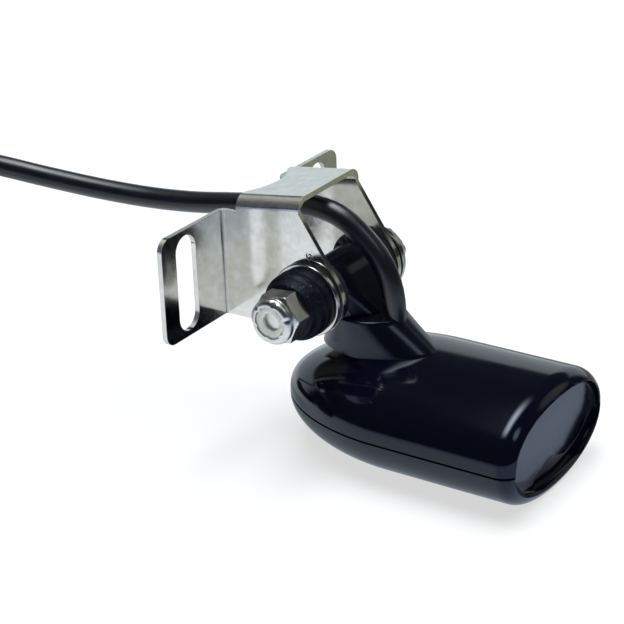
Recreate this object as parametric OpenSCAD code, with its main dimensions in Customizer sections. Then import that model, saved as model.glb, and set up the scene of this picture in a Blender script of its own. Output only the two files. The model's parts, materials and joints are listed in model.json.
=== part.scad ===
// Transom-mount sonar transducer on a folded steel bracket.
// X points aft, away from the transom. +Y is the bolt head's side, Z is up.
// The origin is the middle of the two screw slots, on the transom face of the ears.

/* [Bracket] */
// Thickness of the bracket's sheet
sheet_t = 1.3; // [1:0.1:2]
// Clear width between the two arms
arm_gap = 23.2; // [21:0.1:27]
// Width over both ears
ear_span = 73; // [68:0.5:84]
// Height of the ears
ear_h = 26.5; // [25.5:0.5:30]
// Radius of the ears' outer corners
ear_corner_r = 3; // [1:0.25:5]
// Inside radius of the fold between ear and arm
fold_r = 0.8; // [0.5:0.1:1.5]
// Width of a screw slot
slot_w = 7.5; // [5:0.25:8.5]
// Length of a screw slot, end to end
slot_len = 23.7; // [14:0.1:24]
// Distance between the two slots
slot_spacing = 55; // [50:0.5:58]
// Height of the bridge's top above the ears' top, at the transom face
bridge_rise = 3.2; // [2.4:0.1:6]
// Slope of the bridge, rising aft
bridge_slope = 7.9; // [4:0.1:12]
// Outside radius of the bends between bridge and arms
bridge_bend_r = 3; // [2.4:0.1:4]
// Bridge's front corners, aft of the transom face
bridge_front = 5.3; // [4:0.1:7]
// Bridge's rear edge, aft of the transom face
bridge_rear = 23; // [20:0.25:25]
// Radius of the hollow in the bridge's front edge
bridge_hollow_r = 13; // [12:0.25:20]
// Depth of that hollow
bridge_hollow = 3.4; // [1:0.1:5]
// Height above the pivot at which the arms' rear edges start to slant
arm_slant_h = 20; // [17:0.25:21.5]
// Radius of the arms' round ends
arm_end_r = 9; // [8.5:0.1:10.5]
// Radius of the small alignment ring stamped beside each pivot hole
stamp_r = 0.85; // [0.5:0.05:1.5]

/* [Pivot] */
// Pivot axis, aft of the transom face
pivot_aft = 25.5; // [24.5:0.25:28]
// Pivot axis, below the middle of the slots
pivot_drop = 4; // [3:0.25:5]
// Diameter of the pivot bolt
bolt_d = 6.35; // [5:0.05:7]
// Length of the pivot bolt under its head
bolt_len = 44.45; // [43:0.05:46]
// Width across flats of the nut and the bolt's head
hex_af = 11.11; // [10:0.01:13]
// Height of the bolt's head
head_h = 4.8; // [3:0.1:6]
// Height of the nut's hexagon
nut_hex_h = 4.9; // [4:0.1:6]
// Height of the nut's round collar
nut_collar_h = 2.1; // [1.8:0.1:4]
// Diameter of the steel washer on the nut's side
washer_d = 18.4; // [15:0.1:20]
// Diameter of the steel washer on the bolt head's side
head_washer_d = 17.2; // [15:0.1:20]
// Thickness of the steel washers
washer_t = 1.3; // [1:0.1:2]
// Diameter of the rubber washers under the nut
rubber_d = 16.4; // [15:0.1:20]
// Thickness of the rubber washer next to the steel one
rubber_inner_t = 2.7; // [2:0.1:5]
// Thickness of the rubber washer under the nut
rubber_outer_t = 4.9; // [4:0.1:6]
// Straight part of that washer's rim, before it tapers to its front
rubber_rim_t = 2.0; // [0.5:0.1:3]
// Diameter of that washer's front face
rubber_front_d = 13.4; // [13:0.1:14.5]
// Diameter of the rubber washer on the bolt head's side
head_rubber_d = 16.4; // [15:0.1:20]
// Thickness of the rubber washer on the bolt head's side
head_rubber_t = 1.6; // [1.5:0.1:4]
// Thickness of the slip washer against the bracket, on the nut's side
slip_t = 0.9; // [0.5:0.1:1.5]
// Diameter of the slip washer
slip_d = 17.6; // [15:0.1:20]
// Diameter of the ratchets' toothed flange
ratchet_d = 16.8; // [14:0.1:17.5]
// Diameter of the ratchets' hub in the arm
ratchet_hub_d = 10; // [8.5:0.1:12]
// Thickness of the ratchets' flange without the teeth
ratchet_t = 2.2; // [1.5:0.1:3]
// Height of the ratchets' teeth
tooth_h = 0.7; // [0.4:0.05:1]
// Number of teeth on each ratchet
tooth_count = 24; // [16:1:36]

/* [Housing] */
// Length of the housing from nose to tail
body_l = 70.6; // [66:0.2:80]
// Width of the housing
body_w = 47.2; // [45:0.2:54]
// Nose, forward of the pivot axis
nose_lead = 12.4; // [11:0.2:14]
// Length of the round nose
nose_l = 35.4; // [32:0.2:40]
// Roundness of the nose, where 2 is an ellipse
nose_n = 1.93; // [1.8:0.01:2.4]
// Seam between the two shells, below the pivot axis
seam_drop = 27.4; // [27:0.1:30]
// Height of the upper shell above the seam
crown_h = 13.5; // [12:0.1:14]
// Depth that the lower shell's round flanks aim at
belly_h = 13.4; // [12.8:0.1:15]
// Depth of the flat belly below the seam
belly_flat = 12.4; // [11.5:0.1:12.7]
// Roundness of the upper flanks
crown_n = 2.29; // [2:0.01:3]
// Roundness of the lower flanks
belly_n = 2.12; // [2:0.01:3]
// How the upper shell's height falls towards the nose
crown_taper = 0.85; // [0.6:0.01:1]
// How the lower shell's depth falls towards the nose
belly_taper = 0.92; // [0.6:0.01:1]
// Thickness of the shells' walls
wall = 2.8; // [2.4:0.1:3.2]
// Radius of the upper shell's rounded tail rim
rim_upper_r = 5.5; // [4:0.1:7]
// Radius of the lower shell's rounded tail rim
rim_lower_r = 3.6; // [2.8:0.1:5]
// How far the tail rims draw in at the tail's end
rim_inset = 2.5; // [1.5:0.1:2.6]
// Depth of the hollow in the tail's end wall
dish_depth = 3.5; // [1:0.1:4]
// Thickness of the tail's end wall at its rim
end_wall_t = 6; // [5:0.1:8]
// Height of the groove along the seam
seam_gap = 0.5; // [0.3:0.05:0.8]
// Depth of the groove along the seam
seam_depth = 1; // [0.5:0.05:1.5]

/* [Neck] */
// Radius of the pivot barrel on top of the neck
barrel_r = 6.6; // [5.5:0.1:7.5]
// Middle of the neck's foot, aft of the pivot axis
foot_x = 10.6; // [9:0.1:12]
// Half the length of the neck's foot
foot_a = 14.6; // [13:0.1:16]
// Half the width of the neck's foot
foot_b = 7.6; // [7:0.1:9]
// Middle of the neck's shoulder, aft of the pivot axis
shoulder_x = 7.6; // [7:0.1:9]
// Half the length of the neck's shoulder
shoulder_a = 9.3; // [9:0.1:11]
// Half the width of the neck's shoulder
shoulder_b = 8; // [7:0.1:8.5]
// Shoulder, below the pivot axis
shoulder_drop = 6.2; // [5.5:0.1:6.8]
// Middle of the web under the barrel, aft of the pivot axis
web_x = 4; // [3:0.1:5]
// Half the length of the web's foot
web_a = 7.4; // [6:0.1:8]
// Half the width of the web's foot
web_b = 6.8; // [5:0.1:7.5]

/* [Transducer element] */
// Diameter of the ceramic disc
piezo_d = 18; // [12:0.5:18.5]
// Thickness of the ceramic disc
piezo_t = 9; // [4:0.5:10]
// Middle of the disc, aft of the pivot axis
piezo_x = 29; // [26:0.5:34]
// Thickness of the cork behind the disc
cork_t = 3; // [1.5:0.25:4]
// Diameter of the lead wires
wire_d = 1.2; // [0.8:0.1:1.6]
// Diameter of the temperature sensor
sensor_d = 3; // [2:0.25:4]
// Height of the temperature sensor
sensor_h = 5; // [3:0.5:7]
// Temperature sensor, forward of the tail's end
sensor_back = 14.2; // [12:0.2:16]

/* [Cable] */
// Diameter of the cable
cable_d = 5.3; // [4.5:0.1:5.6]
// Diameter of the coil, at the middle of its turns
coil_d = 75; // [65:1:90]
// Turns of the coil side by side
coil_columns = 6; // [5:1:7]
// Layers of turns
coil_rows = 4; // [3:1:5]
// Distance from turn to turn
turn_pitch = 5.5; // [5.4:0.05:5.8]
// Thickness of the straps that tie the coil
tie_t = 0.9; // [0.6:0.1:1.2]
// Width of those straps
tie_w = 5; // [3:0.5:8]
// Diameter of the plug's locking collar
collar_d = 18; // [16:0.5:22]
// Length of the locking collar
collar_l = 13; // [10:0.5:18]
// Diameter of the plug's body
plug_d = 15; // [13:0.5:15.5]
// Length of the plug's body
plug_l = 24; // [18:0.5:30]
// Length of the plug's strain relief
relief_l = 18; // [14:0.5:26]
// Diameter of the plug's pins
pin_d = 1.2; // [0.8:0.1:1.6]
// Length of the pins outside the insulator
pin_l = 6; // [4:0.5:8]

/* [Hidden] */
$fn = 64;

// Clearances
running = 0.08;
loose = 0.15;
soft = 0.3;
seat = 0.2;
over = 1;

// Bracket
arm_out = arm_gap / 2 + sheet_t;
fold_x = sheet_t + fold_r;
ear_top = ear_h / 2;
bridge_top = ear_top + bridge_rise;
stamp_h = arm_end_r + 1.2;
stamp_depth = 0.35;
stamp_line = 0.4;
bridge_reach = 10;
edge_sink = 0.02;

// Bolt and stack, counted outwards from the arms' outside faces
slip_end = slip_t;
washer_end = slip_end + washer_t;
rubber_end = washer_end + rubber_inner_t;
stack_end = rubber_end + rubber_outer_t;
head_stack = head_rubber_t + washer_t;
nut_turn = 5.4;
head_turn = 45;
hex_r = hex_af / sqrt(3);
dome_r = 2 * hex_r;
dome_lift = 0.1 * hex_r;
collar_r = hex_af / 2 - 0.15;
collar_edge = 0.5;
insert_r = collar_r - 1.1;
insert_sink = 0.3;
hole_r = bolt_d / 2 + loose;
barrel_half = arm_gap / 2 - ratchet_t - tooth_h - soft;
tooth_root = ratchet_hub_d / 2 + 0.3;
tooth_tip = ratchet_d / 2 - 0.2;
tooth_base = 0.88 * 2 * PI * tooth_root / tooth_count;
steel_edge = 0.2;
slip_edge = 0.15;
head_rubber_edge = 0.4;
rubber_inner_edge = 0.3;

// Housing, measured from the pivot axis
half_w = body_w / 2;
nose_end = nose_l - nose_lead;
tail_x = body_l - nose_lead;
nose_steps = 14;
rim_steps = 4;
ring_steps = 32;
first_angle = 87;
floor_z = -pivot_drop - seam_drop - belly_flat;
cable_x = 15;
socket_z = -10;
passage_d = 4.4;
shell_top = -seam_drop + crown_h;
cavity_top = shell_top - wall;
belly_in = -seam_drop - belly_flat + wall;
wall_x = tail_x - end_wall_t;
sensor_x = tail_x - sensor_back;
dish_cut = wall + 3 * loose;
dish_steps = [0.1, 0.3, 0.5, 0.7, 0.85, 1];
foot_flare = 0.6;
foot_sink = 1.7;
waist_share = 0.3;
waist_height = 0.36;
shoulder_edge = 0.8;
web_h = 1.5;

// Cable, in the part's own frame
cable_sides = 10;
lead_route = [
    [40.5, 0, -13.5], [40.5, 0, -9], [40, 0, -4.5], [38.5, 0, 0], [36, 0, 4], [32.5, 0, 7.5],
    [28.5, 0, 10.5], [23.5, 0, 12.5], [17, 0, 13], [10, 0, 12], [2, 0, 10.5], [-7, 0, 9],
    [-17, -0.5, 7.6], [-29, -2, 7.1], [-42, -5, 8], [-56, -9, 10], [-70, -13.5, 12.5], [-82, -15.6, 12.8],
    [-93, -13.4, 10.3], [-102, -7.3, 5.3], [-109.2, 1, -0.8], [-115.4, 9.4, -6.9], [-121.8, 17.8, -12.9],
    [-129.2, 25.5, -18.2], [-138.6, 31.2, -22.1], [-150, 33.2, -23.5]];
tail_route = [
    [-150, -69, -40], [-140, -69, -40], [-131, -69, -39.4], [-122, -69, -37.6], [-114, -69, -35.7],
    [-107, -69, -34.9], [-102, -69, -34.8]];
coil_x = -150;
coil_y = -18;
coil_low = floor_z + tie_t + loose;
coil_in = coil_d / 2 - coil_columns * turn_pitch / 2;
coil_out = coil_d / 2 + coil_columns * turn_pitch / 2;
coil_h = coil_rows * turn_pitch;
tie_angles = [25, 145, 215];
plug_at = tail_route[len(tail_route) - 1];
insulator_r = collar_d / 2 - 1.8;
insulator_l = 0.6 * collar_l;
relief_small_d = cable_d + 1.4;
relief_large_d = plug_d - 3;
grip_count = 12;
grip_d = 1.6;
grip_margin = 3.5;
flute_count = 16;
flute_d = 1.4;
flute_margin = 2;
pin_circle = 4.2;
pin_count = 5;

// Shapes and placing

// Moves its children to the pivot axis
module at_pivot() {
    translate([pivot_aft, 0, -pivot_drop]) children();
}

// Puts its children on the nut's side, out from the arm's outside face
module nut_side(distance) {
    at_pivot() translate([0, -arm_out - distance, 0]) rotate([90, 0, 0]) children();
}

// Puts its children on the bolt head's side, out from the arm's outside face
module head_side(distance) {
    at_pivot() translate([0, arm_out + distance, 0]) rotate([-90, 0, 0]) children();
}

// Flat ring with slightly rounded outside edges
module ring(d, hole, t, edge) {
    r = d / 2;
    rotate_extrude() {
        translate([hole, 0]) square([r - edge - hole, t]);
        translate([hole, edge]) square([r - hole, t - 2 * edge]);
        translate([r - edge, edge]) circle(edge, $fn = 24);
        translate([r - edge, t - edge]) circle(edge, $fn = 24);
    }
}

// Hexagon whose outer corners are rounded down
module domed_hex(h) {
    intersection() {
        cylinder(h = h, r = hex_r, $fn = 6);
        translate([0, 0, h + dome_lift - dome_r]) sphere(dome_r);
    }
}

// Solid through a list of rings with equal numbers of points
module loft(rings) {
    n = len(rings[0]);
    last = len(rings) - 1;
    points = [for (ring = rings) each ring];
    low = [for (i = [0:last - 1], j = [0:n - 1])
        [i * n + j, (i + 1) * n + j, (i + 1) * n + (j + 1) % n]];
    high = [for (i = [0:last - 1], j = [0:n - 1])
        [i * n + j, (i + 1) * n + (j + 1) % n, i * n + (j + 1) % n]];
    caps = [[for (j = [0:n - 1]) j], [for (j = [n - 1:-1:0]) last * n + j]];
    polyhedron(points, concat(caps, low, high));
}

// Round rod between two points
module rod(a, b, d) {
    v = b - a;
    translate(a) rotate([0, acos(v.z / norm(v)), atan2(v.y, v.x)])
        cylinder(h = norm(v), d = d, $fn = 24);
}

// Value between a and b, a share t of the way
function mix(a, b, t) = a + (b - a) * t;

// Power that keeps its base's sign
function signed_pow(v, e) = sign(v) * pow(abs(v), e);

// Point of a superellipse at an angle, above the middle from 0 to 180 and below it from 180 to 360
function oval(a, w, h, n) = [w * signed_pow(cos(a), 2 / n), h * signed_pow(sin(a), 2 / n)];

// Share of the full width that the nose has at x
function nose_share(x, inset) =
    x >= nose_end ? 1 : pow(max(0, 1 - pow((nose_end - x) / (nose_l - inset), nose_n)), 1 / nose_n);

// Length of the rounded tail rim
function rim_run(r) = sqrt(r * r - pow(r - rim_inset, 2));

// How far the outside draws in at x on the tail rim
function rim_draw(x, r) = r - sqrt(r * r - pow(max(0, x - tail_x + rim_run(r)), 2));

// Places along the outside of the shells, from nose to tail
function outside_stations(r) = concat(
    [for (i = [0:nose_steps]) nose_end - nose_l * sin(first_angle * (1 - i / nose_steps))],
    [for (i = [0:rim_steps]) tail_x - rim_run(r) * (1 - sin(90 * i / rim_steps))]);

// Places along an inside surface, from nose to the given end
function inside_stations(inset, end) = concat(
    [for (i = [0:nose_steps]) nose_end - (nose_l - inset) * sin(first_angle * (1 - i / nose_steps))],
    [end]);

// Upper half of the housing's section at x, drawn in by cut
function upper_half(x, cut, inset) =
    let (k = nose_share(x, inset), w = (half_w - cut) * k, h = (crown_h - cut) * pow(k, crown_taper))
    [for (i = [0:ring_steps]) let (p = oval(180 * i / ring_steps, w, h, crown_n)) [x, p[0], p[1]]];

// Lower half of the housing's section at x, drawn in by cut, with its upper edge at the height top
function lower_half(x, cut, inset, top) =
    let (k = nose_share(x, inset), w = (half_w - cut) * k, h = (belly_h - cut) * pow(k, belly_taper) + top)
    [for (i = [0:ring_steps]) let (p = oval(180 + 180 * i / ring_steps, w, h, belly_n))
        [x, p[0], max(inset - belly_flat, top + p[1])]];

// Whole section of the housing's inside at x
function section(x, inset) = let (low = lower_half(x, inset, inset, 0))
    concat(upper_half(x, inset, inset), [for (i = [1:ring_steps - 1]) low[i]]);

// Section of the lower shell's hollow at x, open at its top
function lower_hollow(x) = let (p = lower_half(x, wall, wall, 0))
    concat([[x, p[0].y, over]], p, [[x, p[ring_steps].y, over]]);

// Half-width of the lip inside the seam's groove
function seam_half(x) = (half_w - seam_depth) * nose_share(x, seam_depth);

// Ellipse for a level section of the neck
function level_ring(x, a, b, z) = [for (i = [0:39]) [x + a * cos(9 * i), b * sin(9 * i), z]];

// Ring of a round tube at point i of a route
function route_dir(r, i) = let (v = r[min(i + 1, len(r) - 1)] - r[max(i - 1, 0)]) v / norm(v);
function tube_ring(r, i) =
    let (t = route_dir(r, i), s = cross(t, [0, 1, 0]), u = s / norm(s), w = cross(t, u))
    [for (j = [0:cable_sides - 1]) let (a = 360 * j / cable_sides)
        r[i] + cable_d / 2 * (cos(a) * u + sin(a) * w)];

// Point where a tangent from p touches a circle about the origin, on the given side
function touch(p, r, side) =
    let (a = atan2(p[1], p[0]) + side * acos(r / norm(p))) [r * cos(a), r * sin(a)];

// Bracket

// Section through bridge and arms, with the bridge's top at zero
module bridge_section(w, r, top, h) {
    translate([-w / 2 + r, top - h]) square([w - 2 * r, h]);
    translate([-w / 2, top - h]) square([w, h - r]);
    for (side = [-1, 1])
        translate([side * (w / 2 - r), top - r]) circle(r);
}

// Outline of an arm and of the bridge's end, seen from the side and from the pivot
module arm_outline() {
    front = fold_x - pivot_aft;
    top = ear_top + pivot_drop;
    high = bridge_top + pivot_drop + ear_h;
    slant = [bridge_rear - pivot_aft, arm_slant_h];
    toe = [front, pivot_drop - ear_top];
    edge_r = arm_end_r - edge_sink;
    polygon([toe, [front, top], [bridge_front - pivot_aft, top], [bridge_front - pivot_aft, high],
        [slant[0], high], slant, touch(slant, edge_r, -1), [0, 0], touch(toe, edge_r, 1)]);
    circle(arm_end_r);
}

// One ear with its slot, at the +Y side, with the fold into the arm
module ear() {
    fold_y = arm_out + fold_r;
    tip = ear_span / 2;
    rotate([90, 0, 90]) linear_extrude(sheet_t) difference() {
        union() {
            translate([fold_y, -ear_top]) square([tip - ear_corner_r - fold_y, ear_h]);
            translate([fold_y, ear_corner_r - ear_top]) square([tip - fold_y, ear_h - 2 * ear_corner_r]);
            for (side = [-1, 1])
                translate([tip - ear_corner_r, side * (ear_top - ear_corner_r)]) circle(ear_corner_r);
        }
        translate([(slot_spacing - slot_w) / 2, (slot_w - slot_len) / 2])
            square([slot_w, slot_len - slot_w]);
        for (side = [-1, 1])
            translate([slot_spacing / 2, side * (slot_len - slot_w) / 2]) circle(slot_w / 2);
    }
    translate([fold_x, fold_y, -ear_top]) linear_extrude(ear_h) intersection() {
        difference() {
            circle(fold_r + sheet_t);
            circle(fold_r);
        }
        translate([-fold_x, -fold_x]) square(fold_x);
    }
}

module bracket() color("gainsboro") {
    swept = bridge_reach + pivot_aft + 2 * arm_end_r;
    drop = bridge_top + ear_h;
    difference() {
        union() {
            intersection() {
                translate([0, 0, bridge_top]) rotate([0, -bridge_slope, 0]) rotate([90, 0, 90])
                    translate([0, 0, -bridge_reach]) linear_extrude(swept) difference() {
                        bridge_section(2 * arm_out, bridge_bend_r, 0, drop);
                        bridge_section(arm_gap, bridge_bend_r - sheet_t, -sheet_t, drop);
                    }
                at_pivot() translate([0, arm_out + over, 0]) rotate([90, 0, 0])
                    linear_extrude(2 * arm_out + 2 * over) arm_outline();
            }
            ear();
            mirror([0, 1, 0]) ear();
        }
        at_pivot() rotate([90, 0, 0]) cylinder(h = 3 * arm_out, d = ratchet_hub_d, center = true);
        translate([bridge_front + bridge_hollow - bridge_hollow_r, 0, ear_top])
            cylinder(h = drop, r = bridge_hollow_r);
        for (side = [-1, 1])
            at_pivot() translate([0, side * arm_out, stamp_h]) rotate([90, 0, 0]) difference() {
                cylinder(h = 2 * stamp_depth, r = stamp_r, center = true);
                cylinder(h = 3 * stamp_depth, r = stamp_r - stamp_line, center = true);
            }
    }
}

// Pivot hardware

// Toothed bush with its hub in the arm, teeth towards the barrel
module ratchet() color("black") {
    tooth = [[-tooth_base / 2, -tooth_h / 2], [tooth_base / 2, -tooth_h / 2], [0, tooth_h]];
    difference() {
        union() {
            translate([0, 0, -sheet_t]) cylinder(h = sheet_t, d = ratchet_hub_d - 2 * loose);
            cylinder(h = ratchet_t, d = ratchet_d);
            for (i = [0:tooth_count - 1])
                rotate([0, 0, 360 * i / tooth_count]) translate([tooth_root, 0, ratchet_t])
                    rotate([90, 0, 90]) linear_extrude(tooth_tip - tooth_root) polygon(tooth);
        }
        cylinder(h = 4 * ratchet_t, r = hole_r, center = true);
    }
}

module ratchet_near() {
    at_pivot() translate([0, -arm_gap / 2, 0]) rotate([-90, 0, 0]) ratchet();
}

module ratchet_far() {
    at_pivot() translate([0, arm_gap / 2, 0]) rotate([90, 0, 0]) ratchet();
}

module pivot_bolt() color("silver") head_side(head_stack) {
    translate([0, 0, -bolt_len]) cylinder(h = bolt_len, d = bolt_d);
    rotate([0, 0, head_turn]) domed_hex(head_h);
}

module head_washer() color("gainsboro") {
    head_side(head_rubber_t) ring(head_washer_d, hole_r, washer_t, steel_edge);
}

module head_rubber_washer() color("dimgray") {
    head_side(0) ring(head_rubber_d, hole_r, head_rubber_t, head_rubber_edge);
}

module slip_washer() color("black") {
    nut_side(0) ring(slip_d, hole_r, slip_t, slip_edge);
}

module nut_washer() color("gainsboro") {
    nut_side(slip_end) ring(washer_d, hole_r, washer_t, steel_edge);
}

module rubber_washer_inner() color("dimgray") {
    nut_side(washer_end) ring(rubber_d, hole_r, rubber_inner_t, rubber_inner_edge);
}

module rubber_washer_outer() color("dimgray") {
    r = rubber_d / 2;
    nut_side(rubber_end) rotate_extrude() polygon([[hole_r, 0], [r - rubber_inner_edge, 0],
        [r, rubber_inner_edge], [r, rubber_rim_t], [rubber_front_d / 2, rubber_outer_t],
        [hole_r, rubber_outer_t]]);
}

module lock_nut() color("silver") nut_side(stack_end) {
    nut_h = nut_hex_h + nut_collar_h;
    difference() {
        union() {
            rotate([0, 0, nut_turn]) domed_hex(nut_hex_h);
            translate([0, 0, nut_hex_h - over])
                cylinder(h = nut_collar_h + over - collar_edge, r = collar_r);
            translate([0, 0, nut_h - collar_edge])
                cylinder(h = collar_edge, r1 = collar_r, r2 = collar_r - collar_edge);
        }
        translate([0, 0, -over]) cylinder(h = nut_hex_h + 2 * over, d = bolt_d + 2 * running);
        translate([0, 0, nut_hex_h]) cylinder(h = nut_collar_h + over, r = insert_r);
    }
}

module nut_insert() color("ivory") nut_side(stack_end + nut_hex_h) difference() {
    cylinder(h = nut_collar_h - insert_sink, r = insert_r);
    translate([0, 0, -over]) cylinder(h = nut_collar_h + over, d = bolt_d + 2 * running);
}

// Housing

// Neck with its shoulder, web and pivot barrel
module neck() {
    loft([
        level_ring(foot_x, foot_a + foot_flare, foot_b + foot_flare, shell_top - foot_sink),
        level_ring(foot_x, foot_a, foot_b, shell_top),
        level_ring(mix(foot_x, shoulder_x, waist_share), mix(foot_a, shoulder_a, waist_share),
            mix(foot_b, shoulder_b, waist_share), mix(shell_top, -shoulder_drop, waist_height)),
        level_ring(shoulder_x, shoulder_a, shoulder_b, -shoulder_drop - shoulder_edge),
        level_ring(shoulder_x, shoulder_a - shoulder_edge, shoulder_b - shoulder_edge, -shoulder_drop)]);
    hull() {
        rotate([90, 0, 0]) cylinder(h = 2 * barrel_half, r = barrel_r, center = true, $fn = 48);
        translate([web_x, 0, -shoulder_drop - web_h]) scale([web_a / web_b, 1, 1])
            cylinder(h = web_h, r = web_b, $fn = 32);
    }
}

module upper_housing() color("#16161c") at_pivot() difference() {
    union() {
        translate([0, 0, -seam_drop]) loft([for (x = outside_stations(rim_upper_r))
            upper_half(x, rim_draw(x, rim_upper_r), 0)]);
        neck();
        rotate([90, 0, 0]) cylinder(h = 2 * barrel_half, r = barrel_r, center = true);
    }
    translate([0, 0, -seam_drop])
        loft([for (x = inside_stations(wall, tail_x + over)) upper_half(x, wall, wall)]);
    rotate([90, 0, 0]) cylinder(h = 4 * barrel_half, r = bolt_d / 2 + running, center = true);
    translate([cable_x, 0, socket_z]) cylinder(h = barrel_r - socket_z, d = cable_d + 2 * soft);
    translate([cable_x, 0, cavity_top - over])
        cylinder(h = socket_z - cavity_top + 2 * over, d = passage_d);
}

// Section of the end wall where it stands in the upper shell, its foot sunk in the lower one
function wall_ring(x) = let (p = upper_half(nose_end, wall + loose, 0), foot = -seam_gap - over)
    concat([[x, p[0].y, foot]], [for (q = p) [x, q.y, q.z]], [[x, p[ring_steps].y, foot]]);

// Ring of the hollow in the end wall, a share s of its full size
function dish_ring(x, s) = [for (p = section(nose_end, dish_cut)) [x, p.y * s, p.z * s]];

module lower_housing() color("#16161c") at_pivot() translate([0, 0, -seam_drop]) difference() {
    lip = inside_stations(seam_depth, tail_x - rim_run(rim_lower_r));
    left = [for (x = lip) [x, seam_half(x)]];
    right = [for (i = [len(lip) - 1:-1:0]) [lip[i], -seam_half(lip[i])]];
    union() {
        difference() {
            union() {
                loft([for (x = outside_stations(rim_lower_r))
                    lower_half(x, rim_draw(x, rim_lower_r), 0, -seam_gap)]);
                translate([0, 0, -seam_gap - seat]) linear_extrude(seam_gap + seat)
                    polygon(concat(left, right));
            }
            loft([for (x = inside_stations(wall, wall_x)) lower_hollow(x)]);
        }
        loft([wall_ring(wall_x + seat), wall_ring(tail_x)]);
    }
    loft(concat([for (s = dish_steps) dish_ring(tail_x - dish_depth * (1 - s * s), s)],
        [dish_ring(tail_x + over, 1)]));
}

// What the housing holds

module piezo_disc() color("tan") at_pivot() {
    translate([piezo_x, 0, belly_in]) cylinder(h = piezo_t, d = piezo_d);
}

module cork_backing() color("peru") at_pivot() {
    translate([piezo_x, 0, belly_in + piezo_t]) cylinder(h = cork_t, d = piezo_d);
}

// Lead from the ceramic's edge up through the neck's passage
module lead(side, d) {
    top = [cable_x, side * wire_d, socket_z - loose];
    turn = [cable_x, side * wire_d, cavity_top - 2 * wire_d];
    foot = [piezo_x - piezo_d / 2 - wire_d, side * wire_d, belly_in + piezo_t - wire_d];
    rod(top, turn, d);
    rod(turn, foot, d);
    translate(turn) sphere(d = d * 1.2, $fn = 24);
}

module lead_wire_signal() color("firebrick") at_pivot() {
    lead(-1, wire_d);
}

module lead_wire_ground() color("dimgray") at_pivot() {
    lead(1, wire_d);
}

module temperature_sensor() color("darkolivegreen") at_pivot() {
    translate([sensor_x, 0, belly_in]) cylinder(h = sensor_h, d = sensor_d);
}

module potting_fill() color("saddlebrown") at_pivot() difference() {
    inset = wall + seat;
    translate([0, 0, -seam_drop])
        loft([for (x = inside_stations(inset, wall_x - seat)) section(x, inset)]);
    translate([piezo_x, 0, belly_in - over])
        cylinder(h = piezo_t + cork_t + over + seat, d = piezo_d + 2 * seat);
    translate([sensor_x, 0, belly_in - over])
        cylinder(h = sensor_h + over + seat, d = sensor_d + 2 * seat);
    for (side = [-1, 1])
        lead(side, wire_d + 2 * seat);
}

// Cable and plug

module cable() color("#1c1c1f") {
    loft([for (i = [0:len(lead_route) - 1]) tube_ring(lead_route, i)]);
}

// Outline of the coil's own section, grown by the given distance
module coil_section(grow) {
    translate([coil_in - grow, -grow]) square([coil_out - coil_in + 2 * grow, coil_h + 2 * grow]);
}

module cable_coil() color("#1c1c1f") translate([coil_x, coil_y, coil_low]) {
    rotate_extrude() coil_section(0);
}

module coil_ties() color("#303034") translate([coil_x, coil_y, coil_low]) {
    for (a = tie_angles)
        rotate([90, 0, a]) linear_extrude(tie_w, center = true) difference() {
            coil_section(tie_t + loose);
            coil_section(loose);
        }
}

module cable_tail() color("#1c1c1f") {
    loft([for (i = [0:len(tail_route) - 1]) tube_ring(tail_route, i)]);
}

// Puts its children on the plug's axis, at a distance from the cable's end
module on_plug(distance) {
    translate(plug_at + [distance, 0, 0]) rotate([0, 90, 0]) children();
}

module plug_strain_relief() color("#1c1c1f") on_plug(0) {
    cylinder(h = relief_l, d1 = relief_small_d, d2 = relief_large_d);
}

module plug_body() color("#202024") on_plug(relief_l) difference() {
    union() {
        cylinder(h = plug_l, d = plug_d);
        translate([0, 0, plug_l]) cylinder(h = insulator_l, r = insulator_r);
    }
    for (i = [0:grip_count - 1])
        rotate([0, 0, 360 * i / grip_count]) translate([plug_d / 2, 0, grip_margin])
            cylinder(h = plug_l - 2 * grip_margin, d = grip_d, $fn = 16);
}

module plug_collar() color("#2a2a2e") on_plug(relief_l + plug_l + soft) difference() {
    cylinder(h = collar_l, d = collar_d);
    translate([0, 0, -over]) cylinder(h = collar_l + 2 * over, r = insulator_r + loose);
    for (i = [0:flute_count - 1])
        rotate([0, 0, 360 * (i + 0.5) / flute_count]) translate([collar_d / 2 + seat, 0, flute_margin])
            cylinder(h = collar_l - 2 * flute_margin, d = flute_d, $fn = 16);
}

module plug_pins() color("goldenrod") on_plug(relief_l + plug_l + insulator_l) {
    for (i = [0:pin_count - 1])
        rotate([0, 0, 360 * i / pin_count]) translate([pin_circle, 0, 0])
            cylinder(h = pin_l, d = pin_d, $fn = 24);
}

bracket();
ratchet_near();
ratchet_far();
pivot_bolt();
head_washer();
head_rubber_washer();
slip_washer();
nut_washer();
rubber_washer_inner();
rubber_washer_outer();
lock_nut();
nut_insert();
upper_housing();
lower_housing();
potting_fill();
piezo_disc();
cork_backing();
lead_wire_signal();
lead_wire_ground();
temperature_sensor();
cable();
cable_coil();
coil_ties();
cable_tail();
plug_strain_relief();
plug_body();
plug_collar();
plug_pins();
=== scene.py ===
"""Looks of a transom-mount sonar transducer: smooth shells, hardware, cable, finishes and a plain studio.

Lengths are in millimetres, in the part's own frame, and become metres when a mesh is made.
X points aft, +Y is the side of the bolt's head and Z is up. Shells are drawn from the pivot axis.
The studio's lengths are in metres. Named angles are in degrees, but those of the crimp and the waves are
in radians.
"""
import json
import math

import bmesh
import bpy
from mathutils import Matrix, Vector


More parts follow.
